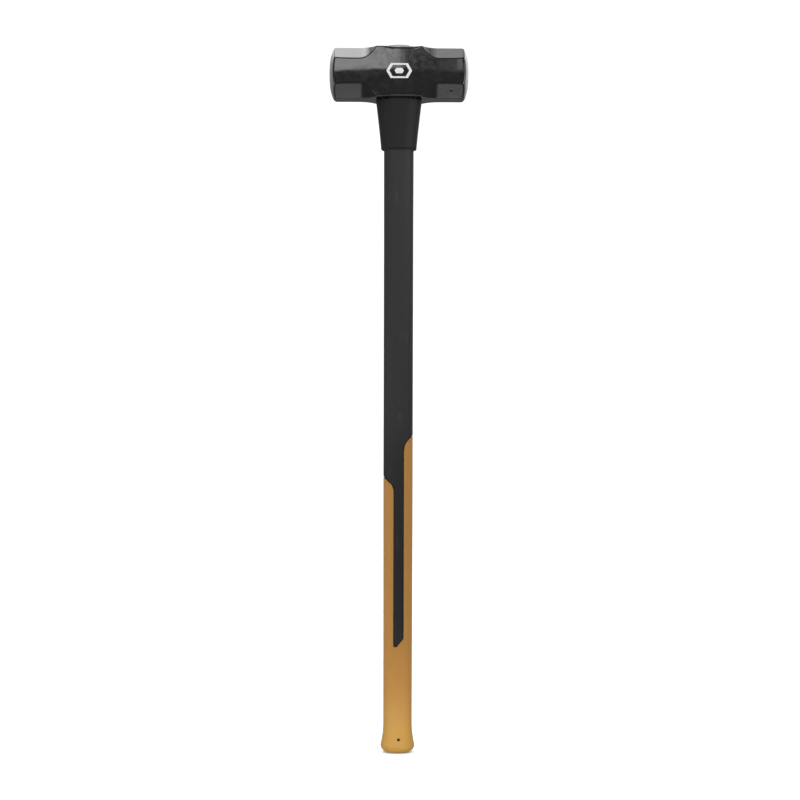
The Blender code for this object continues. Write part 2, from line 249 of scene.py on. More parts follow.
def ease_edges(obj, width, angle=50):
    """Rounds a moulding's sharp edges, and keeps its broad faces' shading true."""
    weld = obj.modifiers.new("weld", "WELD")
    weld.merge_threshold = 0.05 * MM
    bevel = obj.modifiers.new("ease", "BEVEL")
    bevel.width = width
    bevel.segments = 3
    bevel.limit_method = "ANGLE"
    bevel.angle_limit = math.radians(angle)
    bevel.use_clamp_overlap = False
    normals = obj.modifiers.new("true shading", "WEIGHTED_NORMAL")
    normals.keep_sharp = False
    settle(obj)


def finish_piece(obj, look, slot, *nodes):
    """Gives a piece its material and fixes it to the frame in place of CAD nodes."""
    obj.data.materials.clear()
    obj.data.materials.append(look)
    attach(obj, "root")
    if nodes:
        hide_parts(*nodes)
    return obj


# --- The forging's shape --------------------------------------------------------

FLAT_DRAFT = 0.03  # how far a forged flat leans back each side of its crest
DRAFT_CREST = 3 * MM  # how softly it turns there
CREST_HEIGHT = 3.2 * MM  # above the head's axis at the middle
CREST_FALL = 0.05  # how much lower it is towards the ends
CHEEK_BOW = 0.010  # how far a cheek leans back from the head's middle to its ends
CHEEK_CREST = 14 * MM  # how softly it turns at the middle
DROOP_START = 68 * MM  # from the middle to where the flats' ends curve in
END_DROOP = 3.0  # times the square of the metres beyond that
CHAMFER_DEEPER = 0.65 * MM  # gives the leaning flats their full height back
CHAMFER_ROUNDING = 1.2 * MM
CHEEK_ROUNDING = 2.6 * MM
LIP_ROUNDING = 3.5 * MM  # added to the cheek's edges beside the eye
LIP_MIDDLE = 5 * MM  # where that is along the head
LIP_HALF = 18 * MM  # and half of how long
CROWN_BLEND = 3.0 * MM  # rounding between a struck face's crown and its bevel
GROUND_EDGE = 2.4 * MM  # and between the ground bevel and the painted body
SKIN_DEPTH = 0.06 * MM  # the forging is at least this far inside the nominal size
PIT_PLACE = (67 * MM, -24 * MM, -24 * MM)  # on the lower right chamfer, from the head's middle
PIT_SIZE = 1.3 * MM
PIT_DEPTH = 0.9 * MM
DENT_COUNT = 22
DENT_SIZES = (1.5, 4.0)  # mm
DENT_DEPTHS = (0.03, 0.09)  # mm

# Unevenness, each as depth, feature size and a seed for its noise
BROAD_WEAR = (0.09 * MM, 19 * MM, 3)
FINE_WEAR = (0.03 * MM, 6 * MM, 11)
GRINDING = (0.45 * MM, 24 * MM, 29)  # of the bevel's edge, done by hand

# The mesh along the head: (from, to, spacing), close together where the chamfers scoop out
STATIONS = (
    (0, 26 * MM, 1.0 * MM),
    (26 * MM, 50 * MM, 0.5 * MM),
    (50 * MM, HALF_LENGTH - 8 * MM, 1.0 * MM),
)
BEVEL_SPACING = 0.3 * MM  # from there to the crown


def smooth_max(a, b, rounding):
    """The larger of two distances, rounded off where they are nearly equal."""
    near = np.clip(1 - np.abs(a - b) / rounding, 0, 1)
    return np.maximum(a, b) + near**2 * rounding / 4


def field(points, depth, scale, seed):
    """Smooth noise from 0 to depth at each point, over features about scale long."""
    offset = Vector((seed, seed / 2, -seed))
    flat = points.reshape(-1, 3)
    values = [noise.noise(Vector(point) / scale + offset) for point in flat]
    return depth * np.clip(np.array(values) * 0.5 + 0.5, 0, 1).reshape(points.shape[:-1])


def chamfer_distance(along):
    """Distance from the head's axis to a chamfer, which scoops out to the cheek."""
    full = (2 * HALF_FLATS - CHAMFER_LEG) / math.sqrt(2) - CHAMFER_DEEPER
    inside = np.clip(CHAMFER_START - along, 0, RUNOUT_RADIUS)
    return full + RUNOUT_RADIUS - np.sqrt(RUNOUT_RADIUS**2 - inside**2)


def forged_body(x, y, z, worn):
    """How far a point lies outside the forged bar; y and z are from its axis."""
    crest = CREST_HEIGHT - CREST_FALL * np.abs(x)
    lean = np.hypot(z - crest, DRAFT_CREST) - DRAFT_CREST
    across = np.abs(y) + FLAT_DRAFT * np.maximum(lean, 0)
    across = across + CHEEK_BOW * (np.hypot(x, CHEEK_CREST) - CHEEK_CREST)
    across = across + END_DROOP * np.maximum(np.abs(x) - DROOP_START, 0) ** 2
    lip = 1 / (1 + ((x - LIP_MIDDLE) / LIP_HALF) ** 8)
    rounding = CHEEK_ROUNDING + LIP_ROUNDING * lip
    flats = smooth_max(across, np.abs(z), rounding) - HALF_FLATS
    chamfer = (np.abs(y) + np.abs(z)) / math.sqrt(2) - chamfer_distance(np.abs(x))
    return smooth_max(flats, chamfer, CHAMFER_ROUNDING) + SKIN_DEPTH + worn


def crown_drop():
    """How much shorter the head is at the crown's edge than at its middle."""
    return CROWN_RADIUS - math.sqrt(CROWN_RADIUS**2 - CROWN_EDGE**2)


def ground_face(x, y, z, uneven):
    """How far a point lies outside the ground bevels and crowns."""
    radius = np.hypot(y, z)
    reach = HALF_LENGTH - crown_drop() + CROWN_EDGE * math.tan(BEVEL_SLOPE)
    bevel = (np.abs(x) + radius * math.tan(BEVEL_SLOPE) - reach) * math.cos(BEVEL_SLOPE)
    crown = np.hypot(np.abs(x) - HALF_LENGTH + CROWN_RADIUS, radius) - CROWN_RADIUS
    return smooth_max(crown, bevel + uneven, CROWN_BLEND)


def head_stations(crown_steps=20):
    """Places along half the head, from its middle to the top of the crown."""
    body = [np.arange(*station) for station in STATIONS]
    bevel = np.arange(STATIONS[-1][1], HALF_LENGTH - crown_drop(), BEVEL_SPACING)
    radii = np.linspace(CROWN_EDGE, 0, crown_steps)
    crown = HALF_LENGTH - CROWN_RADIUS + np.sqrt(CROWN_RADIUS**2 - radii**2)
    return np.concatenate((*body, bevel, crown))


def head_angles(steps=22):
    """Angles round the head's axis, with some on every edge of the octagon and square."""
    edge = math.atan2(HALF_FLATS - CHAMFER_LEG, HALF_FLATS)
    quarter = math.pi / 2
    places = (0, edge, quarter / 2, quarter - edge)
    corners = [quarter * turn + place for turn in range(4) for place in places]
    pairs = zip(corners, [*corners[1:], 2 * math.pi])
    return np.concatenate([np.linspace(a, b, steps, endpoint=False) for a, b in pairs])


def dents(seed=7):
    """Small knocks in the forging, and its pit: (place, size, depth), always the same ones."""
    chance = np.random.default_rng(seed)
    places = []
    for _ in range(DENT_COUNT):
        x = chance.uniform(-0.9, 0.9) * HALF_LENGTH
        y, z = chance.uniform(-1, 1, 2) * HALF_FLATS
        if chance.random() < 0.5:
            y = math.copysign(HALF_FLATS, y)
        else:
            z = math.copysign(HALF_FLATS, z)
        size = chance.uniform(*DENT_SIZES) * MM
        depth = chance.uniform(*DENT_DEPTHS) * MM
        places.append((np.array((x, y, z)), size, depth))
    places.append((np.array(PIT_PLACE), PIT_SIZE, PIT_DEPTH))
    return places


def wear_at(points):
    """How much the forging's scale, hammering and knocks take off at each point."""
    worn = field(points, *BROAD_WEAR) + field(points, *FINE_WEAR)
    for place, size, depth in dents():
        distance = np.linalg.norm(points - place, axis=-1)
        worn += depth * np.exp(-((distance / size) ** 2))
    return worn


def solve(outside, limit, halvings=40):
    """Where outside(distance) turns from negative to positive, between 0 and limit."""
    low = np.zeros_like(limit)
    high = limit.copy()
    for _ in range(halvings):
        middle = (low + high) / 2
        beyond = outside(middle) > 0
        high = np.where(beyond, middle, high)
        low = np.where(beyond, low, middle)
    return (low + high) / 2


def head_surface():
    """The head's points by station and angle, and how ground each point is.

    The wear is looked up at the surface that it moves, so the surface is found twice.
    """
    half = head_stations()
    along = np.concatenate((-half[:0:-1], half))
    angles = head_angles()
    x, angle = np.meshgrid(along, angles, indexing="ij")
    cosine, sine = np.cos(angle), np.sin(angle)
    limit = np.full_like(x, 2 * HALF_FLATS)
    worn = np.zeros_like(x)
    uneven = np.zeros_like(x)

    def outside(reach):
        y, z = reach * cosine, reach * sine
        body = forged_body(x, y, z, worn)
        return smooth_max(body, ground_face(x, y, z, uneven), GROUND_EDGE)

    for _ in range(2):
        reach = solve(outside, limit)
        points = np.stack((x, reach * cosine, reach * sine), axis=-1)
        worn = wear_at(points)
        uneven = field(points, *GRINDING)
    y, z = points[..., 1], points[..., 2]
    ground = ground_face(x, y, z, uneven) - forged_body(x, y, z, worn)
    points[..., 2] += HEAD_MIDDLE
    return points, ground


def eye_rings(bottom, top, inset=0.0, lead_in=0.0, steps=36):
    """Ovals up the eye, which is an hourglass; lead_in rounds over its mouths."""
    rings = []
    for z in np.linspace(bottom, top, steps):
        share = min(abs(z - HEAD_MIDDLE) / HALF_FLATS, 1)
        half = EYE_WAIST + (EYE_MOUTH - EYE_WAIST) * (1 - math.cos(share * math.pi / 2))
        into = abs(z - HEAD_MIDDLE) - HALF_FLATS + lead_in
        half = half - inset
        if lead_in and into > 0:
            half = half + lead_in - math.sqrt(max(lead_in**2 - into**2, 0))
        rings.append(oval(z, *half))
    return rings


def eye_cutter(beyond=1 * MM):
    """The eye's hollow, reaching beyond the head at both ends."""
    rings = eye_rings(HEAD_LOW.z, HEAD_HIGH.z, lead_in=EYE_LEAD_IN, steps=90)
    low, high = rings[0].copy(), rings[-1].copy()
    low[:, 2] -= beyond
    high[:, 2] += beyond
    return skin("eye_cutter", [low, *rings, high])


def build_head(look):
    points, ground = head_surface()
    head = skin("forging", points, ends="left", marks={"ground": ground / MM})
    combine(head, "DIFFERENCE", eye_cutter())
    return finish_piece(head, look, "forged_head", "hammer_head")


# --- Core and bond in the eye ---------------------------------------------------

CORE_EDGE = 0.5 * MM
RESIN_DROP = 0.8 * MM  # how far below the head's top the resin leaves the eye
RESIN_SWELL = 0.25  # share of its climb that is gentle; the rest is steep, up the core


def core_rings(bottom, top, offset=0.0, edge=0.0, steps=4):
    """Ovals along the core rod, its cut ends eased by edge."""
    half = np.array((CORE_HIGH.x, CORE_HIGH.y)) + offset
    rings = []
    for end, towards in ((bottom, 1), (top, -1)):
        turns = [math.pi / 2 * step / steps for step in range(steps + 1)]
        ends = []
        for turn in turns if edge else [math.pi / 2]:
            z = end + towards * edge * (1 - math.cos(turn))
            ends.append(oval(z, *(half - edge * (1 - math.sin(turn)))))
        rings.extend(ends if towards == 1 else ends[::-1])
    return rings


def core_bore(bottom, top):
    return skin("core_bore", core_rings(bottom, top, FIT_GAP))


def build_core(look):
    core = skin("fibre_rod", core_rings(CORE_LOW.z, CORE_HIGH.z, edge=CORE_EDGE))
    return finish_piece(core, look, "fibreglass_core", "core_rod")


def build_bond(look):
    """The cured resin, which creeps up the core and sags a little between it and the eye."""
    rim = HEAD_HIGH.z - RESIN_DROP
    rings = eye_rings(BOND_LOW.z, rim, FIT_GAP)
    rim_half = np.array((rings[-1][:, 0].max(), rings[-1][:, 1].max()))
    core_half = np.array((CORE_HIGH.x, CORE_HIGH.y))
    climb = BOND_HIGH.z - rim
    for share in np.linspace(0.06, 0.97, 14):
        gentle = RESIN_SWELL * math.sin(share * math.pi / 2)
        steep = (1 - RESIN_SWELL) * share**4
        half = rim_half + (core_half - rim_half) * share
        rings.append(oval(rim + climb * (gentle + steep), *half))
    bond = skin("resin", rings)
    combine(bond, "DIFFERENCE", core_bore(BOND_LOW.z - OVERSHOOT, CORE_HIGH.z + OVERSHOOT))
    return finish_piece(bond, look, "cured_bond", "eye_bond")


# --- The handle's mouldings -----------------------------------------------------

GROOVE = 1.1 * MM  # width of the line between the jacket and the grip's tongues
GROOVE_DEPTH = 0.9 * MM
COVERED_BEYOND = 60 * MM  # how far the jacket's thinner inside goes on above the grip
GRIP_STOCK = 18 * MM  # spare length of the grip's body, which the window cuts off
CAVITY_STOCK = 30 * MM
JACKET_EASE = 0.35 * MM  # rounding of their sharp edges
GRIP_EASE = 0.45 * MM


def handle_profile(steps=12):
    """(z, half width) up the handle: rounded butt, flared knob, slim shaft."""
    profile = []
    for angle in np.linspace(-math.pi / 2, FLARE_START, steps):
        z = BUTT_RISE * (1 + math.sin(angle))
        profile.append((z, BUTT_FLAT_HALF + BUTT_ROUNDING * math.cos(angle)))
    knob_z, knob_half = profile[-1]
    neck_z, neck_half = NECK
    for rise in np.linspace(0, 1, steps)[1:]:
        z = knob_z + (neck_z - knob_z) * rise
        profile.append((z, neck_half + (knob_half - neck_half) * (1 - rise) ** 2))
    return [*profile, *SHAFT, (JACKET_HIGH.z, JACKET_HIGH.x)]


def half_width_at(z):
    heights, halves = zip(*handle_profile())
    return float(np.interp(z, heights, halves))


def handle_rings(bottom, top, offset=0.0, spacing=7 * MM):
    """Ovals of the handle's outline between two heights, offset outwards."""
    even = np.arange(bottom, top, spacing)[1:-1]
    curved = [z for z, _ in handle_profile() if z <= NECK[0]]
    heights = [z for z in (*even, *curved) if bottom < z < top]
    rings = []
    for z in sorted({round(z, 6) for z in (bottom, *heights, top)}):
        half = half_width_at(z)
        rings.append(oval(z, half + offset, half * DEPTH_SHARE + offset))
    return rings


def handle_body(name, bottom, top, offset=0.0):
    return skin(name, handle_rings(bottom, top, offset))


def window_outline(inset):
    """The part of the handle's front that the grip leaves open, drawn in by inset."""
    left = STRIPE_MIDDLE - STRIPE_HALF
    right = STRIPE_MIDDLE + STRIPE_HALF
    side = 1.3 * JACKET_HIGH.x
    top = JACKET_HIGH.z + OVERSHOOT

    def edge_height(x, start, slope):
        """Height at x of an edge that slopes up from start, moved in by inset."""
        start_x, start_z = start
        return start_z + (x - start_x) * math.tan(slope) + inset / math.cos(slope)

    def right_tongue(x):
        return edge_height(x, (half_width_at(RIGHT_TONGUE_TIP), RIGHT_TONGUE_TIP), RIGHT_SLOPE)

    def left_tongue(x):
        return edge_height(-x, (half_width_at(LEFT_TONGUE_TIP), LEFT_TONGUE_TIP), LEFT_SLOPE)

    def stripe_end(x):
        return edge_height(x, (left, STRIPE_BOTTOM), STRIPE_SLOPE)

    near, far = left + inset, right - inset
    return rounded_outline([
        (side, right_tongue(side), 0),
        (side, top, 0),
        (-side, top, 0),
        (-side, left_tongue(-side), 0),
        (near, left_tongue(near), LEFT_ROUNDING + inset),
        (near, stripe_end(near), STRIPE_LEFT_ROUNDING - inset),
        (far, stripe_end(far), STRIPE_RIGHT_ROUNDING - inset),
        (far, right_tongue(far), RIGHT_ROUNDING + inset),
    ])


def build_jacket(look):
    """The black jacket, flush with the grip in its window and thinner under it."""
    jacket = handle_body("handle_jacket", STRIPE_BOTTOM - OVERSHOOT, JACKET_HIGH.z)
    combine(jacket, "INTERSECT", prism("jacket_window", window_outline(GROOVE)))
    inside = GRIP_HIGH.z + COVERED_BEYOND
    groove = handle_body("groove", STRIPE_BOTTOM - OVERSHOOT, inside - OVERSHOOT, -GROOVE_DEPTH)
    combine(groove, "INTERSECT", prism("groove_window", window_outline(FIT_GAP)))
    covered = handle_body("covered", JACKET_LOW.z, inside, -GRIP_WALL - FIT_GAP)
    combine(jacket, "UNION", groove, covered)
    hole = pin("blind_hole", HOLE_PLACE, HOLE_RADIUS, -OUTSIDE, HOLE_FLOOR)
    bore = core_bore(CORE_LOW.z - FIT_GAP, JACKET_HIGH.z + OVERSHOOT)
    combine(jacket, "DIFFERENCE", hole, bore)
    ease_edges(jacket, JACKET_EASE)
    return finish_piece(jacket, look, "black_jacket", "shaft_jacket")


def build_grip(look):
    """The ochre grip with its two tongues, the knob and the locating-pin hole."""
    grip = handle_body("ochre_sleeve", GRIP_LOW.z, GRIP_HIGH.z + GRIP_STOCK)
    cavity = handle_body("cavity", GRIP_FLOOR, GRIP_HIGH.z + CAVITY_STOCK, -GRIP_WALL)
    combine(grip, "DIFFERENCE", cavity, prism("grip_window", window_outline(0)))
    combine(grip, "DIFFERENCE", pin("hole", HOLE_PLACE, HOLE_RADIUS, -OUTSIDE, OUTSIDE))
    ease_edges(grip, GRIP_EASE)
    return finish_piece(grip, look, "ochre_grip", "grip_sleeve")


def build_collar(look):
    """The overstrike collar: a slightly hollow taper with a rounded lower rim."""
    top_half = np.array((COLLAR_HIGH.x, COLLAR_HIGH.y))
    low, high = COLLAR_LOW.z + COLLAR_RIM, COLLAR_HIGH.z - COLLAR_EDGE
    outside = []
    for turn in np.linspace(0, math.pi / 2, 8):
        z = COLLAR_LOW.z + COLLAR_RIM * (1 - math.cos(turn))
        outside.append(oval(z, *(COLLAR_BOTTOM_HALF - COLLAR_RIM * (1 - math.sin(turn)))))
    for share in np.linspace(0, 1, 24)[1:]:
        half = COLLAR_BOTTOM_HALF + (top_half - COLLAR_BOTTOM_HALF) * share**COLLAR_HOLLOW
        outside.append(oval(low + (high - low) * share, *half))
    for turn in np.linspace(0, math.pi / 2, 5)[1:]:
        z = COLLAR_HIGH.z - COLLAR_EDGE * (1 - math.sin(turn))
        outside.append(oval(z, *(top_half - COLLAR_EDGE * (1 - math.cos(turn)))))
    bore = handle_rings(COLLAR_LOW.z, COLLAR_HIGH.z, FIT_GAP)
    collar = skin("strike_collar", [*outside, *bore[::-1]], ends="joined")
    return finish_piece(collar, look, "collar_rubber", "overstrike_collar")


# --- The emblem printed on the cheek --------------------------------------------

EMBLEM_HALF = (16.5 * MM, 9.5 * MM)
EMBLEM_LINE = 2.2 * MM
EMBLEM_BAR = 0.36  # the bar's size as a share of the whole
EMBLEM_MARGIN = 2 * MM  # spare sheet round it, cut off
PRINT_THICKNESS = 0.05 * MM


def cheek_depth(x, z):
    """How far forward the front cheek's skin is at each x and z, z from the head's axis."""
    limit = np.full_like(x, 2 * HALF_FLATS)
    worn = np.zeros_like(x)
    for _ in range(2):
        reach = solve(lambda y: forged_body(x, y, z, worn), limit)
        worn = wear_at(np.stack((x, -reach, z), axis=-1))
    return reach


def cheek_print(half_width, half_height, spacing=0.5 * MM):
    """A thin sheet that follows the front cheek over a rectangle, a little proud of it."""
    across = np.arange(-half_width, half_width, spacing)
    up = np.arange(-half_height, half_height, spacing)
    x, z = np.meshgrid(across, up, indexing="ij")
    reach = cheek_depth(x, z)
    rings = []
    for row in range(len(across)):
        front = np.column_stack((x[row], -reach[row] - PRINT_THICKNESS, z[row]))
        back = np.column_stack((x[row], -reach[row] + 4 * PRINT_THICKNESS, z[row]))
        rings.append(np.concatenate((front, back[::-1])) + (0, 0, HEAD_MIDDLE))
    return skin("emblem", rings)


def hexagon(half_width, half_height):
    """A long hexagon with a point at each side."""
    shoulder = half_width - half_height / math.sqrt(3)
    corners = [
        (half_width, 0), (shoulder, half_height), (-shoulder, half_height),
        (-half_width, 0), (-shoulder, -half_height), (shoulder, -half_height),
    ]
    return [(x, HEAD_MIDDLE + z) for x, z in corners]


def build_emblem(look):
    """A plain long hexagon round a bar, in silver print."""
    half_width, half_height = EMBLEM_HALF

    def cutter(name, share):
        outline = hexagon(half_width * share, half_height * share)
        return prism(name, outline, -2 * HALF_FLATS, 0)

    shape = cutter("outer", 1)
    combine(shape, "DIFFERENCE", cutter("inner", (half_height - EMBLEM_LINE) / half_height))
    combine(shape, "UNION", cutter("bar", EMBLEM_BAR))
    sheet = cheek_print(half_width + EMBLEM_MARGIN, half_height + EMBLEM_MARGIN)
    combine(sheet, "INTERSECT", shape)
    return finish_piece(sheet, look, "forged_head")


# --- Materials ------------------------------------------------------------------

# Linear colours. A pair is the two ends of what a slow noise drifts between.
BLACK_PAINT = ((0.0045, 0.0045, 0.005), (0.0075, 0.0075, 0.0075))
GROUND_STEEL = ((0.34, 0.33, 0.32), (0.52, 0.51, 0.50))
SILVER_INK = (0.39, 0.40, 0.395)
RUBBED_INK = (0.14, 0.14, 0.14)
SCUFF = (0.07, 0.07, 0.07)
# The first ochre is the grip's colour painted lighter and yellower, as painted light near the
# floor.
PAINTED_LIT_OCHRE = ((0.210, 0.111, 0.0140), (0.236, 0.125, 0.0165))
ORANGE_OCHRE = ((0.206, 0.0950, 0.0130), (0.232, 0.1070, 0.0150))
GRIME = (0.18, 0.092, 0.022)
FIBREGLASS = ((0.20, 0.24, 0.19), (0.27, 0.31, 0.255))
FIBRE_ENDS = (0.38, 0.42, 0.36)
RESIN = ((0.20, 0.24, 0.21), (0.28, 0.32, 0.28))
BUBBLES = (0.42, 0.46, 0.41)
FLOOR_PAPER = ((0.91, 0.91, 0.91), (0.94, 0.94, 0.94))

BARE_FROM, BARE_FULL = 0.45, 0.70  # how ground the steel is where the paint ends, in mm
NOISE_MIDDLE = (0.3, 0.7)  # most of a noise lies between these
DARK_JACKET = (350 * MM, 440 * MM)  # the jacket is darker below the first height than above the second
GRIP_PAINTED_LIGHT = (20 * MM, 95 * MM)  # painted light for the brighter light near the floor: the grip is lighter and yellower below the first height, orange above the second
COLLAR_PAINTED_SHADE = 6 * MM  # how far down from the head the collar's top is painted darker, as painted shade under the head


def plug(tree, socket, value):
    """Sets a socket to a value, or links it to the socket that feeds it."""
    if isinstance(value, bpy.types.NodeSocket):
        tree.links.new(value, socket)
    else:
        socket.default_value = value


def add_node(tree, kind, inputs=None, **settings):
    """Adds a node; inputs maps its sockets to values, or to the sockets that feed them."""
    made = tree.nodes.new("ShaderNode" + kind)
    for name, value in settings.items():
        setattr(made, name, value)
    for socket, value in (inputs or {}).items():
        plug(tree, made.inputs[socket], value)
    return made


def maths(tree, operation, a, b=0.0):
    return add_node(tree, "Math", {0: a, 1: b}, operation=operation).outputs[0]


def grain(tree, place, scale, detail=2.0, roughness=0.5, stretch=(1, 1, 1)):
    """Noise from 0 to 1 with scale features a metre, stretched along the axes."""
    moved = add_node(tree, "Mapping", {"Vector": place, "Scale": stretch})
    inputs = {
        "Vector": moved.outputs[0],
        "Scale": scale,
        "Detail": detail,
        "Roughness": roughness,
    }
    return add_node(tree, "TexNoise", inputs).outputs[0]


def between(tree, value, low, high, from_value=0.0, to_value=1.0):
    """Eases from from_value to to_value as value goes from low to high."""
    inputs = {
        "Value": value,
        "From Min": low,
        "From Max": high,
        "To Min": from_value,
        "To Max": to_value,
    }
    made = add_node(tree, "MapRange", inputs, interpolation_type="SMOOTHSTEP")
    return made.outputs[0]


def spread(tree, value, low, high):
    """A number that follows a noise from low to high."""
    return between(tree, value, *NOISE_MIDDLE, low, high)


def mixed(tree, share, first, second):
    """A colour from first to second as share goes from 0 to 1."""
    def opaque(colour):
        return colour if isinstance(colour, bpy.types.NodeSocket) else (*colour, 1)

    inputs = {0: share, 6: opaque(first), 7: opaque(second)}
    return add_node(tree, "Mix", inputs, data_type="RGBA").outputs[2]


def grey(level):
    return (level, level, level)


def bumped(tree, height, distance, strength=1.0, below=None):
    """A normal tilted by height, on top of the relief below."""
    inputs = {"Height": height, "Distance": distance, "Strength": strength}
    if below is not None:
        inputs["Normal"] = below
    return add_node(tree, "Bump", inputs).outputs[0]


def surface(name, paint):
    """A material whose Principled shader's sockets are set by paint(tree, place, shader)."""
    look = bpy.data.materials.new(name)
    look.use_nodes = True
    tree = look.node_tree
    shader = tree.nodes["Principled BSDF"]
    place = add_node(tree, "TexCoord").outputs["Object"]
    paint(tree, place, shader)
    return look


def feed(tree, shader, **sockets):
    """Links or sets the shader's sockets; an underscore stands for a space."""
    for name, value in sockets.items():
        plug(tree, shader.inputs[name.replace("_", " ")], value)


def forged_paint(tree, place, shader):
    """Black paint over forged steel, with the faces and bevels ground bare."""
    ground = add_node(tree, "Attribute", attribute_name="ground").outputs["Fac"]
    ragged = maths(tree, "MULTIPLY", grain(tree, place, 700, 3), 0.5)
    bare = between(tree, maths(tree, "ADD", ground, ragged), BARE_FROM, BARE_FULL)

    blotches = grain(tree, place, 140, 3)
    black = mixed(tree, blotches, *BLACK_PAINT)
    streaks = grain(tree, place, 900, 2, stretch=(0.35, 0.05, 1))
    steel = mixed(tree, streaks, *GROUND_STEEL)
    paint_gloss = spread(tree, grain(tree, place, 140, 2), 0.09, 0.15)
    steel_gloss = spread(tree, streaks, 0.30, 0.42)
    gloss = add_node(tree, "Mix", {0: bare, 2: paint_gloss, 3: steel_gloss}).outputs[0]

    peel = bumped(tree, grain(tree, place, 260, 2), 0.024 * MM, 0.6)
    scale_pits = bumped(tree, grain(tree, place, 1200, 2), 0.003 * MM, 0.4, peel)
    scratches = bumped(tree, streaks, 0.02 * MM, 0.6)
    inputs = {0: bare, 4: scale_pits, 5: scratches}
    relief = add_node(tree, "Mix", inputs, data_type="VECTOR").outputs[1]
    feed(
        tree, shader, Base_Color=mixed(tree, bare, black, steel), Metallic=bare,
        Roughness=gloss, Normal=relief,
    )


def silver_print(tree, place, shader):
    """Silver ink, rubbed thin in specks."""
    worn = between(tree, grain(tree, place, 900, 3), 0.62, 0.72)
    feed(
        tree, shader, Base_Color=mixed(tree, worn, SILVER_INK, RUBBED_INK),
        Roughness=between(tree, worn, 0, 1, 0.35, 0.5),
    )


def moulded_black(tree, place, shader, light=0.0105, rough=0.60, scuffed=0.2, dark=DARK_JACKET):
    """Black polypropylene or rubber with a fine moulded texture and light scuffs.

    dark gives two heights: the piece is darker at the first than at the second.
    """
    height = add_node(tree, "SeparateXYZ", {0: place}).outputs["Z"]
    drift = grain(tree, place, 22, 3, stretch=(1, 1, 0.25))
    # a darker black: low on the jacket, and at the collar's top it is painted shade under the
    # head
    darker_black = mixed(tree, drift, grey(0.5 * light), grey(0.7 * light))
    clean = mixed(tree, drift, grey(0.85 * light), grey(1.15 * light))
    plain = mixed(tree, between(tree, height, *dark), darker_black, clean)
    scuffs = between(tree, grain(tree, place, 260, 4, 0.7, (1, 1, 0.12)), 0.60, 0.75)
    colour = mixed(tree, maths(tree, "MULTIPLY", scuffs, scuffed), plain, SCUFF)
    pebbles = bumped(tree, grain(tree, place, 1900, 2), 0.05 * MM, 0.5)
    feed(
        tree, shader, Base_Color=colour, Normal=pebbles,
        Roughness=spread(tree, drift, rough, rough + 0.12),
        Specular_IOR_Level=0.35, Sheen_Weight=0.05, Sheen_Roughness=0.35,
    )


def collar_black(tree, place, shader):
    """Softer black rubber, with painted shade under the head: darker at its top."""
    painted_shade_heights = (COLLAR_HIGH.z, COLLAR_HIGH.z - COLLAR_PAINTED_SHADE)
    moulded_black(tree, place, shader, light=0.0038, rough=0.62, scuffed=0.05, dark=painted_shade_heights)


def ochre_rubber(tree, place, shader):
    """Ochre thermoplastic rubber: soft sheen, fine grain, faint flow marks, and painted light:
    lighter and yellower towards the butt.
    """
    flow = grain(tree, place, 16, 3, stretch=(1, 1, 0.3))
    height = add_node(tree, "SeparateXYZ", {0: place}).outputs["Z"]
    # painted light: the lighter, yellower ochre low on the grip
    painted_lit_yellow = mixed(tree, flow, *PAINTED_LIT_OCHRE)
    orange = mixed(tree, flow, *ORANGE_OCHRE)
    clean = mixed(tree, between(tree, height, *GRIP_PAINTED_LIGHT), painted_lit_yellow, orange)
    grime = between(tree, grain(tree, place, 120, 4, 0.65), 0.58, 0.75)
    colour = mixed(tree, maths(tree, "MULTIPLY", grime, 0.3), clean, GRIME)
    pebbles = bumped(tree, grain(tree, place, 1500, 2), 0.06 * MM, 0.5)
    feed(
        tree, shader, Base_Color=colour, Normal=pebbles,
        Roughness=spread(tree, flow, 0.52, 0.64),
        Specular_IOR_Level=0.3, Sheen_Weight=0.18, Sheen_Roughness=0.35,
    )


def cut_fibreglass(tree, place, shader):
    """The pultruded rod: pale, with the ends of its fibre bundles showing as specks."""
    bundles = add_node(tree, "TexVoronoi", {"Vector": place, "Scale": 1100.0}).outputs[0]
    specks = between(tree, bundles, 0.15, 0.5)
    cloud = grain(tree, place, 240, 3)
    matrix = mixed(tree, cloud, *FIBREGLASS)
    feed(
        tree, shader, Base_Color=mixed(tree, specks, FIBRE_ENDS, matrix),
        Roughness=spread(tree, cloud, 0.42, 0.6), Normal=bumped(tree, specks, 0.04 * MM, 0.6),
    )


def clear_resin(tree, place, shader):
    """Poured resin: grey-green and glossy, clouded with fine bubbles."""
    cells = add_node(tree, "TexVoronoi", {"Vector": place, "Scale": 700.0}).outputs[0]
    bubbles = between(tree, cells, 0.08, 0.18, 1, 0)
    cloud = grain(tree, place, 130, 3)
    body = mixed(tree, cloud, *RESIN)
    colour = mixed(tree, maths(tree, "MULTIPLY", bubbles, 0.4), body, BUBBLES)
    feed(
        tree, shader, Base_Color=colour, Roughness=spread(tree, cloud, 0.12, 0.25),
        Normal=bumped(tree, cloud, 0.15 * MM, 0.5), Subsurface_Weight=0.15,
        Subsurface_Scale=2 * MM,
    )


def plain_floor(tree, place, shader):
    """Matt white paper, faintly mottled."""
    colour = mixed(tree, grain(tree, place, 3, 2), *FLOOR_PAPER)
    feed(tree, shader, Base_Color=colour, Roughness=0.85, Specular_IOR_Level=0.0)


# --- Floor, light and camera ----------------------------------------------------

FLOOR_RADIUS = 30  # wide enough that its edge is never in the picture
FLOOR_DEPTH = 0.05


def build_floor(segments=64):
    """A wide round floor, level with the butt."""
    turn = np.arange(segments) * 2 * math.pi / segments
    circle = np.column_stack((np.cos(turn), np.sin(turn), np.zeros(segments)))
    rings = [
        circle * reach + (0, 0, height)
        for reach, height in ((FLOOR_RADIUS, -FLOOR_DEPTH), (FLOOR_RADIUS, 0), (1, 0), (0, 0))
    ]
    floor = skin("floor", rings, ends="left")
    floor.data.shade_flat()
    floor.data.materials.append(surface("pale_floor", plain_floor))
    floor.visible_glossy = False


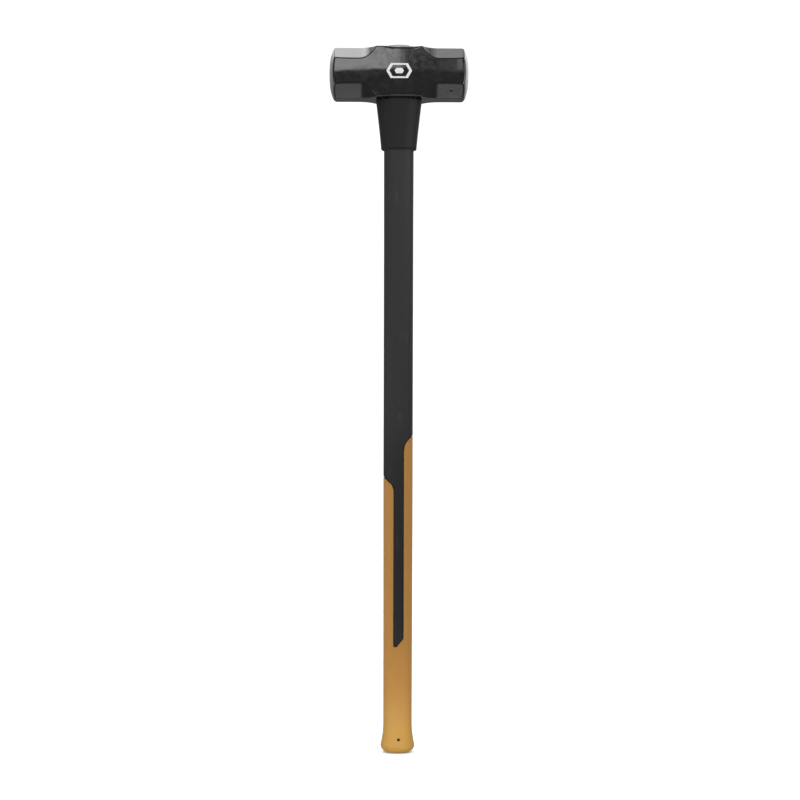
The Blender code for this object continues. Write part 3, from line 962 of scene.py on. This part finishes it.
def softbox(name, place, aim, size, watts):
    """A rectangle of light, size wide and high, that the camera doesn't see."""
    light = bpy.data.lights.new(name, "AREA")
    light.shape = "RECTANGLE"
    light.size, light.size_y = size
    light.energy = watts
    made = new_object(name, light)
    made.location = place
    direction = Vector(aim) - Vector(place)
    made.rotation_euler = direction.to_track_quat("-Z", "Y").to_euler()
    made.visible_camera = False


# The overhead light in strips, fading to both sides: left edge, right edge, watts a square metre
OVERHEAD_STRIPS = (
    (-1.04, -0.92, 4.5), (-0.92, -0.78, 9.5), (-0.78, -0.64, 15), (-0.64, 0.0, 20.5),
    (0.0, 0.4, 7.5), (0.4, 0.62, 5), (0.62, 0.84, 2.5),
)
OVERHEAD_DEPTH = 1.2
OVERHEAD_PLACE = (0.33, 2.6)  # y and z
FRONT_LIGHTS_Y = -2.2


def hang_lights():
    """Softboxes above, in front and low at both sides."""
    for left, right, brightness in OVERHEAD_STRIPS:
        size = (right - left, OVERHEAD_DEPTH)
        middle = Vector(((left + right) / 2, *OVERHEAD_PLACE))
        below = middle - Vector((0, 0, 1))
        softbox("overhead", middle, below, size, brightness * size[0] * size[1])

    def in_front(name, x, z, size, watts):
        softbox(name, (x, FRONT_LIGHTS_Y, z), (x, 0, HEAD_MIDDLE), size, watts)

    in_front("key", -0.57, 1.82, size=(1.2, 1.0), watts=20)
    in_front("strip", 0.30, 1.7, size=(0.22, 0.9), watts=0.45)
    in_front("right_strip", 0.53, 1.82, size=(0.24, 0.9), watts=1.75)
    softbox("fill", (1.5, -1.0, 1.15), aim=(0, 0, 0.8), size=(0.8, 0.6), watts=5)
    softbox("side_left", (-1.2, -0.6, 0.35), aim=(0, 0, 0.35), size=(0.4, 0.7), watts=4.8)
    softbox("collar", (0.4, -0.35, 0.79), aim=(0, 0, 0.82), size=(0.15, 0.15), watts=0.9)
    softbox("foot", (0, -0.12, 0.007), aim=(0, 0, 0.02), size=(0.3, 0.014), watts=0.2)


ROOM_LIGHT = 1.12  # white walls, as the camera and matt surfaces see them
ROOM_GLOW = 0.15  # the rest is what gloss reflects: the studio's dark side,
WALL_GLOW = (0.3, 1.2)  # its lit back wall, on the left and on the right
TOP_GLOW = (1.1, 0.6)  # the wall's brighter top, on the left and on the right
FOOT_GLOW = 1.12  # and the lit patch of floor at the hammer's foot
LEFT_TO_RIGHT = (-0.2, 0.2)  # directions between which the wall's glow changes

# Below, across, away and up are the parts of the unit direction that a ray leaves in.


def lit_wall(tree, across, away, up):
    """The glow of the back wall, above the horizon."""
    glow = between(tree, across, *LEFT_TO_RIGHT, *WALL_GLOW)
    wall = between(tree, away, 0.2, 0.9, 0, glow)
    return maths(tree, "MULTIPLY", wall, between(tree, up, -0.05, 0.12))


def lit_wall_top(tree, across, away, up):
    """How much more the wall glows from about 20 degrees up."""
    high = maths(tree, "MULTIPLY", between(tree, up, 0.25, 0.45), between(tree, away, 0.18, 0.42))
    return maths(tree, "MULTIPLY", high, between(tree, across, *LEFT_TO_RIGHT, *TOP_GLOW))


def lit_foot(tree, across, up):
    """The glow of the floor at the hammer's foot, narrow and steeply down."""
    glow = between(tree, maths(tree, "ABSOLUTE", across), 0.12, 0.30, FOOT_GLOW, 0)
    return maths(tree, "MULTIPLY", between(tree, up, -0.9, -0.8, 1, 0), glow)


def build_room():
    """An even white room, in which gloss reflects only the lit wall and floor."""
    world = bpy.data.worlds.new("studio")
    world.use_nodes = True
    tree = world.node_tree
    toward = add_node(tree, "TexCoord").outputs["Generated"]
    across, away, up = add_node(tree, "SeparateXYZ", {0: toward}).outputs
    seen = ROOM_GLOW
    glows = (
        lit_wall(tree, across, away, up),
        lit_wall_top(tree, across, away, up),
        lit_foot(tree, across, up),
    )
    for glow in glows:
        seen = maths(tree, "ADD", glow, seen)
    ray = add_node(tree, "LightPath").outputs["Is Glossy Ray"]
    strength = add_node(tree, "Mix", {0: ray, 2: ROOM_LIGHT, 3: seen}).outputs[0]
    inputs = tree.nodes["Background"].inputs
    inputs["Color"].default_value = (1, 1, 1, 1)
    tree.links.new(strength, inputs["Strength"])
    bpy.context.scene.world = world
    bpy.context.scene.view_settings.view_transform = "Standard"


CAMERA_DISTANCE = 2.239
CAMERA_AZIMUTH = math.radians(-0.6)
CAMERA_ROLL = math.radians(0.14)
CAMERA_LENS = 77.8  # for a 36 mm sensor
CAMERA_DROP = 1.3 * MM  # below the hammer's middle
CAMERA_ASIDE = 2.3 * MM  # to the right of where it would look at the hammer's axis


def place_camera():
    """Level, halfway up the hammer, a little to the left of square on."""
    camera = bpy.data.cameras.new("camera")
    camera.lens = CAMERA_LENS
    made = new_object("camera", camera)
    made.location = (
        CAMERA_DISTANCE * math.sin(CAMERA_AZIMUTH) + CAMERA_ASIDE,
        -CAMERA_DISTANCE * math.cos(CAMERA_AZIMUTH),
        (cad_bounds[0].z + cad_bounds[1].z) / 2 - CAMERA_DROP,
    )
    made.rotation_mode = "XYZ"
    made.rotation_euler = (math.pi / 2, -CAMERA_ROLL, CAMERA_AZIMUTH)
    bpy.context.scene.camera = made


# --- The scene ------------------------------------------------------------------

build_head(surface("forged_paint", forged_paint))
build_emblem(surface("silver_print", silver_print))
build_core(surface("cut_fibreglass", cut_fibreglass))
build_bond(surface("clear_resin", clear_resin))
black = surface("jacket_black", moulded_black)
build_jacket(black)
build_collar(surface("collar_black", collar_black))
build_grip(surface("ochre_rubber", ochre_rubber))
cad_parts["eye_dam_ring"].data.materials[0] = black
build_floor()
hang_lights()
build_room()
place_camera()
